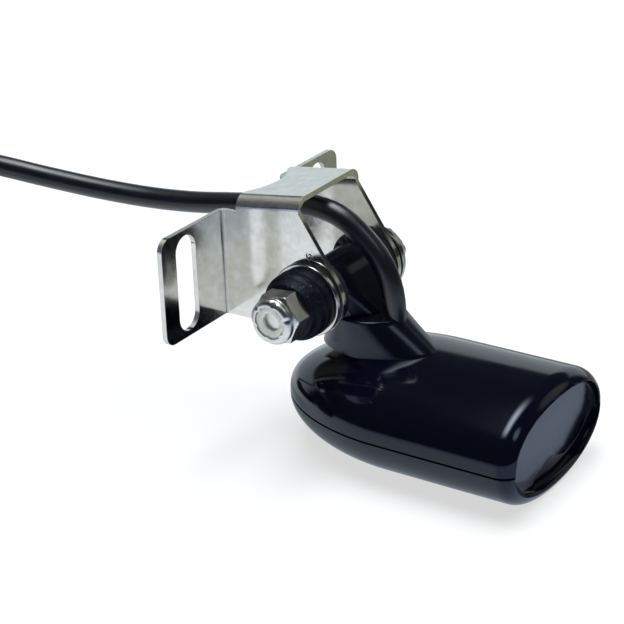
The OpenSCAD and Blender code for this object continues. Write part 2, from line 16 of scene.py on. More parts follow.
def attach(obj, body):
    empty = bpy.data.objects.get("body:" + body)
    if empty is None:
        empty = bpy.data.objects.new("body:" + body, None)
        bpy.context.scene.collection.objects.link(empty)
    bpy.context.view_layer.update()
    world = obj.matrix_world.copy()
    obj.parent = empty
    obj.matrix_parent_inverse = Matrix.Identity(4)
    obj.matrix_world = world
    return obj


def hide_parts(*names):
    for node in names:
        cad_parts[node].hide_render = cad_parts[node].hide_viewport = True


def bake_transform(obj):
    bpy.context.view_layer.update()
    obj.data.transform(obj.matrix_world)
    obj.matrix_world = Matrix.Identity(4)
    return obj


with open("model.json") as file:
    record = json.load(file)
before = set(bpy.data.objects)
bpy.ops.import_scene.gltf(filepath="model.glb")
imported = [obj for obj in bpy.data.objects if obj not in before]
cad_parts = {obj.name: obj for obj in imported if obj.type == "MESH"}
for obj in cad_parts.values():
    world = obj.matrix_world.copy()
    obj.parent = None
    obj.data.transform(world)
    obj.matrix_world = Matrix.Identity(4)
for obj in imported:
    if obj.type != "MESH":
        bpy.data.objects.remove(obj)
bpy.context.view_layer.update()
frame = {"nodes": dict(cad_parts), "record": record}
nodes = frame["nodes"]

MM = 0.001
PIVOT = Vector((25.5, 0, -4))
FLOOR_Z = -43.8

# Camera, measured from the pivot
AZIMUTH, ELEVATION, ROLL = 34.334, 24.251, -2.052
DISTANCE, SIDE_SHIFT, RISE_SHIFT = 466.257, 6.737, 8.033
FOCAL_PX, FRAME_PX, SENSOR = 1971.9, 624, 36

# Housing
HALF_W, NOSE_L, NOSE_END, TAIL_X = 23.6, 35.4, 23.0, 58.2
SEAM_Z, CROWN_H, BELLY_H, BELLY_FLAT = -27.4, 13.5, 13.4, 12.4
CROWN_N, BELLY_N, NOSE_N, CROWN_TAPER, BELLY_TAPER = 2.29, 2.12, 1.93, 0.85, 0.92
WALL, RIM_UPPER, RIM_LOWER, RIM_INSET = 2.8, 5.5, 3.6, 2.5
SEAM_GAP, SEAM_DEPTH, SHELL_EDGE = 0.5, 1.0, 0.18
UPPER_INSIDE_END, LOWER_INSIDE_END = TAIL_X - 0.3, TAIL_X - 1.0
NOSE_SWEEP = 88.6

# Wall that closes the tail: its fit in both shells, its depth at the top and at the bottom, and its fillet.
# Levels are heights above the seam. A wave is its height, its count round the edge and its turn
END_WALL, END_SET_IN, END_FIT_UPPER, END_FIT_LOWER, END_CENTRE = 6.0, 0.1, 0.15, 0.1, 0.02
END_DEPTH, DEPTH_LEVEL, DEPTH_RUN = (1.2, 2.6), 2, 9
FILLET, FILLET_TOP_SHARE, FILLET_LEVEL, FILLET_RUN = 3.9, 0.15, -1.5, 2.2
FILLET_WAVES = [(0.6, 3, 0.6), (0.35, 7, 0.0)]
# Share of the fillet past which a face gets a darker, weakly mirroring finish: painted shade
SHADED_FILLET_SHARE = 0.05

# Neck and barrel. A ring is its place along X and Y, its half length and its half width
SHELL_TOP, SHOULDER_Z = SEAM_Z + CROWN_H, -6.2
NECK_ROOT, NECK_FOOT, NECK_SHOULDER = (10.5, 0.6, 15.2, 8.6), (10.5, 0.6, 14.8, 8.3), (7.6, 0, 9.3, 8.0)
NECK_SINK, NECK_EDGE = 1.7, 0.5
WEB_FOOT, WEB_SINK = (4, 0, 7.4, 6.8), 1.5
BARREL_R, BARREL_HALF = 6.6, 8.4
CROWN_MARGIN = 0.12

# Pivot hardware, with distances counted from an arm's outside face
ARM_OUT, HEX_R, NUT_TURN, HEAD_TURN = 12.9, 11.11 / math.sqrt(3), 5.4, 45
BOLT_R, BOLT_LEN, HOLE_R, NUT_BORE_R = 3.175, 43.8, 3.325, 3.255
THREAD_FROM, THREAD_PITCH, THREAD_DEPTH, THREAD_END = 25.0, 1.27, 0.55, 0.8
SLIP_T, WASHER_T, RUBBER_INNER_T, RUBBER_OUTER_T, RUBBER_FAR_T = 0.9, 1.3, 2.7, 4.9, 1.6
RUBBER_INNER_AT = SLIP_T + WASHER_T
RUBBER_OUTER_AT = RUBBER_INNER_AT + RUBBER_INNER_T
NUT_AT = RUBBER_OUTER_AT + RUBBER_OUTER_T
HEAD_AT = RUBBER_FAR_T + WASHER_T
NUT_HEX_H, NUT_OUTSIDE_R = 4.9, 3.6
CRIMP_FROM, CRIMP_RUN, CRIMP_DEPTH, CRIMP_WIDTH, CRIMP_TURN = 5.8, 0.9, 0.42, 0.10, 0.3
SHEET_EDGE = 0.22

# Cable
CABLE_D = 5.3
LEAD = [(40.5, 0, -13.5), (40.5, 0, -9), (40, 0, -4.5), (38.5, 0, 0), (36, 0, 4), (32.5, 0, 7.5),
        (28.5, 0, 10.5), (23.5, 0, 12.5), (17, 0, 13), (10, 0, 12), (2, 0, 10.5), (-7, 0, 9),
        (-17, -0.5, 7.6), (-29, -2, 7.1), (-42, -5, 8), (-56, -9, 10), (-70, -13.5, 12.5), (-82, -15.6, 12.8),
        (-93, -13.4, 10.3), (-102, -7.3, 5.3), (-109.2, 1, -0.8), (-115.4, 9.4, -6.9), (-121.8, 17.8, -12.9),
        (-129.2, 25.5, -18.2), (-138.6, 31.2, -22.1), (-150, 33.2, -23.5)]
TAIL = [(-140, -69, -40), (-131, -69, -39.4), (-122, -69, -37.6), (-114, -69, -35.7), (-107, -69, -34.9),
        (-102, -69, -34.8)]
COIL_X, COIL_Y, COIL_OUTER_R, COIL_TOP = -150, -18, 51.25, -23.5
COLUMNS, ROWS, PITCH = 6, 4, 5.5
COLUMN_CHANGE, ROW_CHANGE, CHANGE_RUN = 270, 315, 45


# Meshes

def linked(name, data):
    """New object in the scene."""
    obj = bpy.data.objects.new(name, data)
    bpy.context.scene.collection.objects.link(obj)
    return obj


def solid_mesh(name, points, faces):
    """Mesh whose faces all look outwards."""
    mesh = bpy.data.meshes.new(name)
    mesh.from_pydata(points, [], faces)
    bm = bmesh.new()
    bm.from_mesh(mesh)
    bmesh.ops.recalc_face_normals(bm, faces=bm.faces)
    bm.to_mesh(mesh)
    bm.free()
    return mesh


def piece(name, parts, body, slot, stands_for, sharp=35, finish=None):
    """One object from (points, faces) parts in millimetres, smooth except at edges sharper than an angle."""
    points, faces = [], []
    for part_points, part_faces in parts:
        start = len(points)
        points += [Vector(p) * MM for p in part_points]
        faces += [[start + i for i in f] for f in part_faces]
    mesh = solid_mesh(name, points, faces)
    mesh.materials.append(finish or FINISHES[slot])
    mesh.shade_smooth()
    mesh.set_sharp_from_angle(angle=math.radians(sharp))
    obj = linked(name, mesh)
    if body:
        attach(obj, body)
    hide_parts(*stands_for)
    return obj


def loft(rings, closed=False):
    """Points and faces of a solid through rings of equally many points, capped unless it closes on itself."""
    n, count = len(rings[0]), len(rings)
    points = [p for ring in rings for p in ring]
    steps = count if closed else count - 1
    faces = [(i * n + j, (i + 1) % count * n + j, (i + 1) % count * n + (j + 1) % n, i * n + (j + 1) % n)
             for i in range(steps) for j in range(n)]
    if not closed:
        faces += [tuple(range(n)), tuple((count - 1) * n + j for j in range(n))]
    return points, faces


def joined(parts, cuts):
    """Points and faces of parts made one, with other parts cut out of them."""
    scratch = [linked("scratch", solid_mesh("scratch", points, faces)) for points, faces in parts + cuts]
    for i, tool in enumerate(scratch[1:], 1):
        step = scratch[0].modifiers.new("step", "BOOLEAN")
        step.operation = "UNION" if i < len(parts) else "DIFFERENCE"
        step.solver = "EXACT"
        step.object = tool
    whole = scratch[0].evaluated_get(bpy.context.evaluated_depsgraph_get()).to_mesh()
    points = [v.co.copy() for v in whole.vertices]
    faces = [list(f.vertices) for f in whole.polygons]
    for obj in scratch:
        mesh = obj.data
        bpy.data.objects.remove(obj)
        bpy.data.meshes.remove(mesh)
    return points, faces


def soften(obj, width, segments=2, angle=40):
    """Rounds an object's hard edges."""
    bevel = obj.modifiers.new("edges", "BEVEL")
    bevel.width, bevel.segments = width * MM, segments
    bevel.limit_method, bevel.angle_limit = "ANGLE", math.radians(angle)
    bevel.use_clamp_overlap = True


def refine_sheet(node, width):
    """Merges the flat faces of a CAD sheet, rounds its cut edges and shades its bends smoothly."""
    weld = node.modifiers.new("weld", "WELD")
    weld.merge_threshold = 0.001 * MM
    merge = node.modifiers.new("merge", "DECIMATE")
    merge.decimate_type = "DISSOLVE"
    merge.angle_limit = math.radians(1)
    soften(node, width, 3)
    group = bpy.data.node_groups.new("smooth", "GeometryNodeTree")
    for way in ("INPUT", "OUTPUT"):
        group.interface.new_socket("Geometry", in_out=way, socket_type="NodeSocketGeometry")
    start = group.nodes.new("NodeGroupInput")
    smooth = group.nodes.new("GeometryNodeSetShadeSmooth")
    end = group.nodes.new("NodeGroupOutput")
    group.links.new(start.outputs[0], smooth.inputs["Geometry"])
    group.links.new(smooth.outputs[0], end.inputs[0])
    node.modifiers.new("smooth", "NODES").node_group = group
    normals = node.modifiers.new("normals", "WEIGHTED_NORMAL")
    normals.keep_sharp = True


# Small helpers

def mix(a, b, t):
    return a + (b - a) * t


def ease(t):
    t = min(1.0, max(0.0, t))
    return t * t * (3 - 2 * t)


def share_below(z, level, run):
    """Share that goes smoothly from 1 well below a level to 0 well above it."""
    return 0.5 - 0.5 * math.tanh((z - level) / run)


def angles(count):
    """Equal steps round a full turn, in radians."""
    return [2 * math.pi * i / count for i in range(count)]


def placed(points):
    """Points drawn from the pivot axis, in the part's frame."""
    return [Vector(p) + PIVOT for p in points]


# Shells

def nose_share(x, inset):
    """Share of the housing's full section at x, which shrinks along the nose."""
    if x >= NOSE_END:
        return 1.0
    return max(0.0, 1 - ((NOSE_END - x) / (NOSE_L - inset)) ** NOSE_N) ** (1 / NOSE_N)


def rim_run(r):
    """Length over which a rim of radius r draws in."""
    return math.sqrt(r * r - (r - RIM_INSET) ** 2)


def rim_draw(x, r):
    """How far the tail's rounded rim draws in at x."""
    return r - math.sqrt(r * r - max(0.0, x - TAIL_X + rim_run(r)) ** 2)


def signed_pow(v, e):
    return math.copysign(abs(v) ** e, v) if abs(v) > 1e-12 else 0.0


def half_ring(x, cut, inset, upper, top=0.0, steps=72):
    """Upper or lower half of the housing's section at x, from the +Y side over to the -Y side."""
    k = nose_share(x, inset)
    w = (HALF_W - cut) * k
    n = CROWN_N if upper else BELLY_N
    h = (CROWN_H - cut) * k ** CROWN_TAPER if upper else (BELLY_H - cut) * k ** BELLY_TAPER + top
    ring = []
    for i in range(steps + 1):
        a = math.pi * i / steps
        z = h * signed_pow(math.sin(a), 2 / n)
        z = z if upper else max(inset - BELLY_FLAT, top - z)
        ring.append((x, w * signed_pow(math.cos(a), 2 / n), SEAM_Z + z))
    return ring


def stations(inset, rim, end, nose_steps=40, rim_steps=10):
    """Places from nose to tail, closer together on the nose and on the tail's rim."""
    xs = [NOSE_END - (NOSE_L - inset) * math.sin(math.radians(NOSE_SWEEP * (1 - i / nose_steps)))
          for i in range(nose_steps + 1)]
    if not rim:
        return xs + [NOSE_END + (end - NOSE_END) * (i + 1) / (rim_steps + 1) for i in range(rim_steps + 1)]
    run = rim_run(rim)
    return xs + [end - run * (1 - math.sin(math.pi / 2 * i / rim_steps)) for i in range(rim_steps + 1)]


def upper_shell_part():
    """Closed shell: outside, rounded tail rim, inside, and the seam's edge."""
    outside = [half_ring(x, rim_draw(x, RIM_UPPER), 0, True) for x in stations(0, RIM_UPPER, TAIL_X)]
    inside = [half_ring(x, WALL, WALL, True) for x in stations(WALL, None, UPPER_INSIDE_END)]
    return loft([placed(out + into[::-1]) for out, into in zip(outside, inside)])


def above_crown(p):
    """True for a place that stands clear of the shell's outside, as the neck and barrel do."""
    k = nose_share(p.x, 0)
    share = min(1.0, abs(p.y) / (HALF_W * k)) if k > 0 else 1.0
    crown = CROWN_H * k ** CROWN_TAPER * (1 - share ** CROWN_N) ** (1 / CROWN_N)
    return p.z > SEAM_Z + crown + CROWN_MARGIN


def level_ring(x, y, a, b, z, steps=120):
    """Level ellipse."""
    return [(x + a * math.cos(t), y + b * math.sin(t), z) for t in angles(steps)]


def pivot_ring(r, y, steps):
    """Circle round the pivot axis."""
    return [(r * math.cos(t), y, r * math.sin(t)) for t in angles(steps)]


def neck_part(rows=12, arc=4):
    """Flared neck from the shell's top up to its flat shoulder."""
    foot, shoulder = (*NECK_FOOT, SHELL_TOP), (*NECK_SHOULDER, SHOULDER_Z - NECK_EDGE)
    rings = [level_ring(*NECK_ROOT, SHELL_TOP - NECK_SINK)]
    rings += [level_ring(*(mix(f, s, i / rows) for f, s in zip(foot, shoulder))) for i in range(rows + 1)]
    x, y, a, b, z = shoulder
    for i in range(1, arc + 1):
        t = math.pi / 2 * i / arc
        draw = NECK_EDGE * (1 - math.cos(t))
        rings.append(level_ring(x, y, a - draw, b - draw, z + NECK_EDGE * math.sin(t)))
    return loft([placed(r) for r in rings])


def barrel_part():
    """Pivot barrel and the web that carries it, as one convex form."""
    corners = pivot_ring(BARREL_R, -BARREL_HALF, 120) + pivot_ring(BARREL_R, BARREL_HALF, 120)
    corners += level_ring(*WEB_FOOT, SHOULDER_Z) + level_ring(*WEB_FOOT, SHOULDER_Z - WEB_SINK)
    bm = bmesh.new()
    for p in corners:
        bm.verts.new(p)
    bmesh.ops.convex_hull(bm, input=bm.verts)
    bm.verts.index_update()
    points = placed([v.co for v in bm.verts])
    faces = [[v.index for v in f.verts] for f in bm.faces]
    bm.free()
    return points, faces


def bore_part():
    """Hole for the bolt."""
    return loft([placed(pivot_ring(HOLE_R, y, 64)) for y in (-2 * BARREL_HALF, 2 * BARREL_HALF)])


def lower_shell_part():
    """Closed lower shell with the lip that stands in the seam's groove."""
    rings = []
    inside = stations(WALL, None, LOWER_INSIDE_END)
    for x, x_in in zip(stations(0, RIM_LOWER, TAIL_X), inside):
        out = half_ring(x, rim_draw(x, RIM_LOWER), 0, False, -SEAM_GAP)
        into = half_ring(x_in, WALL, WALL, False)
        lip_y = max(into[0][1], out[0][1] - SEAM_DEPTH)
        lip = [(x_in, -lip_y, SEAM_Z - SEAM_GAP), (x_in, -lip_y, SEAM_Z)]
        back = [(x_in, lip_y, SEAM_Z), (x_in, lip_y, SEAM_Z - SEAM_GAP)]
        rings.append(out + lip + into[::-1] + back)
    return loft([placed(r) for r in rings])


def fillet_width(z, a):
    """Width of the end wall's fillet: wavy round the edge, and wide only below the seam."""
    wavy = FILLET + sum(height * math.sin(count * a + turn) for height, count, turn in FILLET_WAVES)
    return wavy * mix(FILLET_TOP_SHARE, 1.0, share_below(z, FILLET_LEVEL, FILLET_RUN))


def end_wall_part(steps=48, sides=144):
    """Wall that closes the tail, nearly flat, and a flag for each face in its wavy lower fillet, which gets a
    darker finish as painted shade.
    """
    cut = WALL - END_FIT_LOWER
    upper = half_ring(TAIL_X, WALL + END_FIT_UPPER, 0, True, steps=sides)
    lower = half_ring(TAIL_X, cut, cut, False, steps=sides)[::-1]
    edge = [(p[1], p[2] - SEAM_Z) for p in upper + lower[1:-1]]
    rings, shaded_fillet_faces = [], []
    for k in range(steps + 1):
        s = mix(END_CENTRE, 1.0, 1 - (1 - k / steps) ** 2)
        ring = []
        for a, (y, z) in zip(angles(len(edge)), edge):
            reach = math.hypot(y, z) * (1 - s)
            deep = mix(*END_DEPTH, share_below(z * s, DEPTH_LEVEL, DEPTH_RUN))
            share = max(0.0, 1 - reach / fillet_width(z, a))
            x = TAIL_X - END_SET_IN - deep * math.sqrt(max(0.0, 1 - share * share))
            ring.append((x, y * s, SEAM_Z + z * s))
            shaded_fillet_faces.append(share > SHADED_FILLET_SHARE)
        rings.append(ring)
    back = [[(TAIL_X - END_WALL, p[1], p[2]) for p in rings[-1]]]
    return loft([placed(r) for r in rings + back]), shaded_fillet_faces


# Turned pieces on the pivot's axis

def on_axis(side, distance, turn=0.0):
    """Places (radius, angle, height) out from an arm's outside, on the nut's side (-1) or the head's (+1)."""
    def place(r, a, h):
        b = a + math.radians(turn)
        return (PIVOT.x + r * math.cos(b), side * (ARM_OUT + distance + h), PIVOT.z - side * r * math.sin(b))
    return place


def turned(place, profile, steps=72, shape=None):
    """Closed ring of a section turned round the axis. shape may change a radius by angle and height."""
    rings = [[place(shape(r, a, h) if shape else r, a, h) for a in angles(steps)] for r, h in profile]
    return loft(rings, closed=True)


def rounded_section(inner, outer, t, edge, bulge=0.0, arc=5):
    """Section of a flat ring with rounded outside edges and, for rubber, a bulging rim."""
    quarter = [math.pi / 2 * i / arc for i in range(arc + 1)]
    profile = [(inner, 0.0)]
    profile += [(outer - edge + edge * math.sin(a), edge - edge * math.cos(a)) for a in quarter]
    for i in range(1, 4):
        profile.append((outer + bulge * math.sin(math.pi * i / 4), mix(edge, t - edge, i / 4)))
    profile += [(outer - edge + edge * math.cos(a), t - edge + edge * math.sin(a)) for a in quarter]
    return profile + [(inner, t)]


def hexagon(a):
    """Radius of the hexagon's side at an angle."""
    within = (a % (math.pi / 3)) - math.pi / 6
    return HEX_R * math.cos(math.pi / 6) / math.cos(within)


def nut_shape(r, a, h):
    """Hexagon below, round collar above with crimp dents in its lip."""
    if h <= NUT_HEX_H and r > NUT_OUTSIDE_R:
        return min(r, hexagon(a))
    if h > CRIMP_FROM and r > NUT_OUTSIDE_R:
        spot = (a + CRIMP_TURN) % (math.pi / 3) - math.pi / 6
        return r - CRIMP_DEPTH * math.exp(-(spot / CRIMP_WIDTH) ** 2) * ease((h - CRIMP_FROM) / CRIMP_RUN)
    return r


def nut_profile():
    """Section from the bore round the outside: chamfered hexagon, groove, and a collar that curls in."""
    hex_part = [(NUT_BORE_R, 0), (6.5, 0), (6.5, 0.1), (6.5, 1.4), (6.5, 2.8), (6.5, 4.1), (6.25, 4.3),
                (5.95, 4.5), (5.65, 4.67), (5.5, 4.76), (5.35, NUT_HEX_H)]
    collar = [(5.3, 4.98), (5.42, 5.08), (5.48, 5.4), (5.48, 5.7)]
    dome = [(4.1 + 1.38 * math.cos(math.radians(9 * i)), 5.75 + 1.25 * math.sin(math.radians(9 * i)))
            for i in range(1, 11)]
    lip = [(3.96, 6.98), (3.92, 6.86), (4.0, 6.74), (4.3, 6.6)]
    return hex_part + collar + dome + lip + [(4.3, NUT_HEX_H + 0.02), (NUT_BORE_R, NUT_HEX_H + 0.01)]


def insert_profile():
    """Nylon ring whose thin lip overhangs the bolt's end."""
    return [(3.26, 0.05), (4.24, 0.05), (4.24, 1.2), (4.15, 1.5), (3.9, 1.68), (3.5, 1.76), (3.0, 1.74),
            (2.6, 1.62), (2.22, 1.42), (2.15, 1.25), (2.2, 0.5), (3.26, 0.46)]


def taper_profile():
    """Outer rubber washer, which narrows in two steps towards the nut."""
    return [(HOLE_R, 0), (7.8, 0), (8.05, 0.12), (8.14, 0.35), (8.16, 1.0), (8.1, 1.7), (7.98, 2.2),
            (7.75, 2.62), (7.45, 2.95), (7.2, 3.3), (6.95, 4.0), (6.75, 4.6), (6.55, 4.82),
            (6.2, RUBBER_OUTER_T), (HOLE_R, RUBBER_OUTER_T)]


def bolt_parts(sides=48, rows_per_pitch=8):
    """Hexagon head outwards from its underside, and the shank and thread inwards."""
    place = on_axis(1, HEAD_AT, HEAD_TURN)
    head = [(0.05, 0), (6.5, 0), (6.5, 0.12), (6.5, 2.4), (6.5, 3.8), (6.2, 4.2), (5.7, 4.5), (5.3, 4.65),
            (4.9, 4.75), (0.05, 4.8)]
    rows = [(BOLT_R, 0.2), (BOLT_R, -THREAD_FROM)]
    fine = int((BOLT_LEN - THREAD_FROM - THREAD_END) / THREAD_PITCH * rows_per_pitch)
    rows += [(None, -THREAD_FROM - (i + 1) * THREAD_PITCH / rows_per_pitch) for i in range(fine)]
    rows += [(2.55, -BOLT_LEN + 0.1), (2.4, -BOLT_LEN)]
    rings = []
    for r, h in rows:
        ring = []
        for j, a in enumerate(angles(sides)):
            wave = abs(((h / THREAD_PITCH + j / sides) % 1) * 2 - 1)
            ring.append(place(r if r else BOLT_R - THREAD_DEPTH * wave, a, h))
        rings.append(ring)
    return [turned(place, head, shape=lambda r, a, h: min(r, hexagon(a))), loft(rings)]


# Cable

def through(points, step):
    """Smooth curve through points, with places about a step apart."""
    pts = [Vector(p) for p in points]
    ends = [2 * pts[0] - pts[1]] + pts + [2 * pts[-1] - pts[-2]]
    out = []
    for a, b, c, d in zip(ends, ends[1:], ends[2:], ends[3:]):
        count = max(1, round((c - b).length / step))
        for i in range(count):
            t = i / count
            out.append(0.5 * (2 * b + (c - a) * t + (2 * a - 5 * b + 4 * c - d) * t * t
                              + (3 * b - a - 3 * c + d) * t ** 3))
    return out + [pts[-1]]


def coil_path(step_deg=7.5):
    """Turns of the coil, row by row from the top. Columns change before rows, in one quarter of a turn."""
    cells = [(c if r % 2 == 0 else COLUMNS - 1 - c, r) for r in range(ROWS) for c in range(COLUMNS)]
    out = []
    for k, (col, row) in enumerate(cells):
        last = k == len(cells) - 1
        ahead = cells[min(k + 1, len(cells) - 1)]
        span = 180 if last else 360
        for i in range(int(span / step_deg)):
            turn = i * step_deg
            sideways = ease((turn - COLUMN_CHANGE) / CHANGE_RUN) * (ahead[0] - col)
            down = ease((turn - ROW_CHANGE) / CHANGE_RUN) * (ahead[1] - row)
            r = COIL_OUTER_R - PITCH * (col + sideways)
            a = math.radians(90 + turn)
            z = COIL_TOP - PITCH * (row + down)
            out.append(Vector((COIL_X + r * math.cos(a), COIL_Y + r * math.sin(a), z)))
    return out


def cable_path():
    """Lead from the neck to the coil, the coil, and the tail to the plug."""
    lead = through(LEAD, 2.0)
    coil = coil_path()
    bottom = (COIL_X, COIL_Y - COIL_OUTER_R, COIL_TOP - PITCH * (ROWS - 1))
    tail = through([coil[-1], bottom] + TAIL, 3.0)
    return lead[:-1] + coil[:-1] + tail


def tube_part(path, d, sides=20):
    """Round tube along a path, with its rings turned as little as possible from place to place."""
    rings = []
    side = Vector((0, 1, 0))
    for i, p in enumerate(path):
        along = (path[min(i + 1, len(path) - 1)] - path[max(i - 1, 0)]).normalized()
        side = (side - along * side.dot(along)).normalized()
        up = along.cross(side)
        rings.append([p + d / 2 * (math.cos(a) * side + math.sin(a) * up) for a in angles(sides)])
    return loft(rings)


# Finishes

class Graph:
    """Shader nodes of a material or a world."""

    def __init__(self, owner):
        owner.use_nodes = True
        self.tree = owner.node_tree

    def node(self, kind, **settings):
        node = self.tree.nodes.new("ShaderNode" + kind)
        for name, value in settings.items():
            setattr(node, name, value)
        return node

    def feed(self, socket, value):
        """Gives a socket a constant, or links it to another node's result."""
        if hasattr(value, "is_output"):
            self.tree.links.new(value, socket)
        elif hasattr(value, "__len__") and socket.type == "RGBA":
            socket.default_value = (*value, 1)
        else:
            socket.default_value = value

    def fill(self, node, values):
        """Feeds a node's inputs, by name or by number."""
        for key, value in values.items():
            self.feed(node.inputs[key], value)
        return node

    def math(self, operation, a, b=0.0):
        return self.fill(self.node("Math", operation=operation), {0: a, 1: b}).outputs[0]

    def product(self, first, *others):
        for other in others:
            first = self.math("MULTIPLY", first, other)
        return first

    def spread(self, fac, low, high, start=0.3, end=0.7, smooth=False):
        """Value that runs from low to high as fac goes from start to end."""
        node = self.node("MapRange", interpolation_type="SMOOTHSTEP" if smooth else "LINEAR")
        self.fill(node, {"Value": fac, "From Min": start, "From Max": end, "To Min": low, "To Max": high})
        return node.outputs["Result"]

    def tint(self, fac, low, high):
        """Colour between two tones."""
        node = self.node("Mix", data_type="RGBA")
        for name, value in (("Factor", fac), ("A", low), ("B", high)):
            socket = [i for i in node.inputs if i.name == name and i.enabled][0]
            self.feed(socket, value)
        return [o for o in node.outputs if o.enabled][0]

    def facing(self, way, direction):
        """Cosine between a way and a fixed direction."""
        node = self.node("VectorMath", operation="DOT_PRODUCT")
        return self.fill(node, {0: way, 1: direction}).outputs["Value"]

    def parts(self, vector):
        return self.fill(self.node("SeparateXYZ"), {0: vector}).outputs


class Finish(Graph):
    """A material and the nodes that shape its surface, in the part's own coordinates in metres."""

    def __init__(self, name, color, roughness, metallic=0.0, **sockets):
        self.material = bpy.data.materials.new(name)
        super().__init__(self.material)
        self.shader = self.tree.nodes["Principled BSDF"]
        self.fill(self.shader, {"Base Color": color, "Roughness": roughness, "Metallic": metallic})
        self.fill(self.shader, {socket.replace("_", " "): value for socket, value in sockets.items()})
        self.place = self.node("TexCoord").outputs["Object"]
        self.relief = None

    def noise(self, size_mm, detail=3.0, stretch=(1, 1, 1), turn=(0, 0, 0)):
        """Noise with features of about a size, stretched along the part's axes."""
        scale = [1 / (size_mm * MM * s) for s in stretch]
        rotation = [math.radians(v) for v in turn]
        mapping = self.node("Mapping")
        self.fill(mapping, {"Vector": self.place, "Rotation": rotation, "Scale": scale})
        noise = self.node("TexNoise")
        self.fill(noise, {"Vector": mapping.outputs["Vector"], "Scale": 1.0, "Detail": detail})
        return noise.outputs["Fac"]

    def roughness(self, fac):
        self.feed(self.shader.inputs["Roughness"], fac)

    def color(self, color):
        self.feed(self.shader.inputs["Base Color"], color)

    def bump(self, fac, depth_mm):
        """Fine relief of a depth, over the relief that is there already."""
        node = self.fill(self.node("Bump"), {"Distance": depth_mm * MM, "Height": fac})
        if self.relief:
            self.feed(node.inputs["Normal"], self.relief)
        self.relief = node.outputs["Normal"]
        self.feed(self.shader.inputs["Normal"], self.relief)


def black_shell(name, color, low, high, shine=0.5):
    """Moulded black plastic with a faint waviness and a fine grain. shine sets how much it mirrors."""
    f = Finish(name, color, low, IOR=1.45, Specular_Tint=(0.72, 0.82, 1.0), Specular_IOR_Level=shine)
    f.roughness(f.spread(f.noise(14, 4), low, high))
    f.bump(f.noise(9, 2), 0.010)
    f.bump(f.noise(0.25, 2), 0.0006)
    return f.material


def stainless():
    """Polished sheet with a mottled roll finish, soft upright bands, duller bends and a few fine marks."""
    f = Finish("stainless", (0.66, 0.665, 0.65), 0.12, 1.0)
    scratches = f.spread(f.noise(0.7, 1, stretch=(1, 1, 5), turn=(20, 30, 10)), 0, 1, 0.70, 0.74)
    marks = f.product(scratches, f.spread(f.noise(9, 2), 0, 1, 0.5, 0.62))
    lean = f.math("ABSOLUTE", f.parts(f.node("TexCoord").outputs["Normal"])["Y"])
    bend = f.product(f.spread(lean, 0, 1, 0.12, 0.4, smooth=True),
                     f.spread(lean, 1, 0, 0.93, 0.995, smooth=True))
    worn = f.math("ADD", f.product(marks, 0.15), f.product(bend, 0.34))
    f.roughness(f.math("ADD", f.spread(f.noise(1.1, 3), 0.10, 0.17), worn))
    f.color(f.tint(f.spread(f.noise(2.4, 6), 0, 1), (0.575, 0.575, 0.525), (0.705, 0.70, 0.66)))
    f.bump(f.noise(11, 1, stretch=(1, 1, 2)), 0.013)
    f.bump(f.noise(0.9, 3), 0.002)
    f.bump(marks, 0.004)
    return f.material


def bright_steel(name, tone, low, high):
    """Machined steel with faint clouds and a fine grain."""
    f = Finish(name, tone, low, 1.0)
    f.roughness(f.spread(f.noise(2.5, 4), low, high))
    f.color(f.tint(f.spread(f.noise(3, 3), 0, 1), tone, [0.9 * c for c in tone]))
    f.bump(f.noise(1.6, 2), 0.008)
    f.bump(f.noise(0.2, 2), 0.0012)
    return f.material


def soft_black(name, color, low, high, grain_mm, depth, dust=0.0, shine=0.5):
    """Black plastic or rubber. dust adds small pale specks, and shine sets how much it mirrors."""
    f = Finish(name, color, low, Specular_IOR_Level=shine, Specular_Tint=(0.7, 0.82, 1.0))
    f.roughness(f.spread(f.noise(3, 4), low, high))
    tone = f.tint(f.spread(f.noise(1.2, 5), 0, 1, 0.45, 0.8), color, [c * 2.2 for c in color])
    if dust:
        specks = f.spread(f.noise(0.45, 2), 0, 1, 0.65, 0.72)
        patches = f.spread(f.noise(5, 2), 0, 1, 0.4, 0.6)
        tone = f.tint(f.product(specks, patches), tone, (dust, dust, dust))
    f.color(tone)
    f.bump(f.noise(grain_mm, 3), depth)
    return f.material


def plain(name, color, low, high, grain_mm=0.6, depth=0.01, vary=0.25, metallic=0.0):
    """Any other material, a little clouded and grained."""
    f = Finish(name, color, low, metallic)
    f.roughness(f.spread(f.noise(2, 3), low, high))
    f.color(f.tint(f.spread(f.noise(1.5, 4), 0, 1), color, [c * (1 - vary) for c in color]))
    f.bump(f.noise(grain_mm, 3), depth)
    return f.material


def jacket():
    """Extruded cable jacket, with faint lines along the part."""
    f = Finish("cable_jacket", (0.0045, 0.006, 0.0105), 0.32, Specular_IOR_Level=0.7)
    f.roughness(f.spread(f.noise(4, 4), 0.28, 0.36))
    f.bump(f.noise(0.4, 2, stretch=(8, 1, 1)), 0.005)
    return f.material


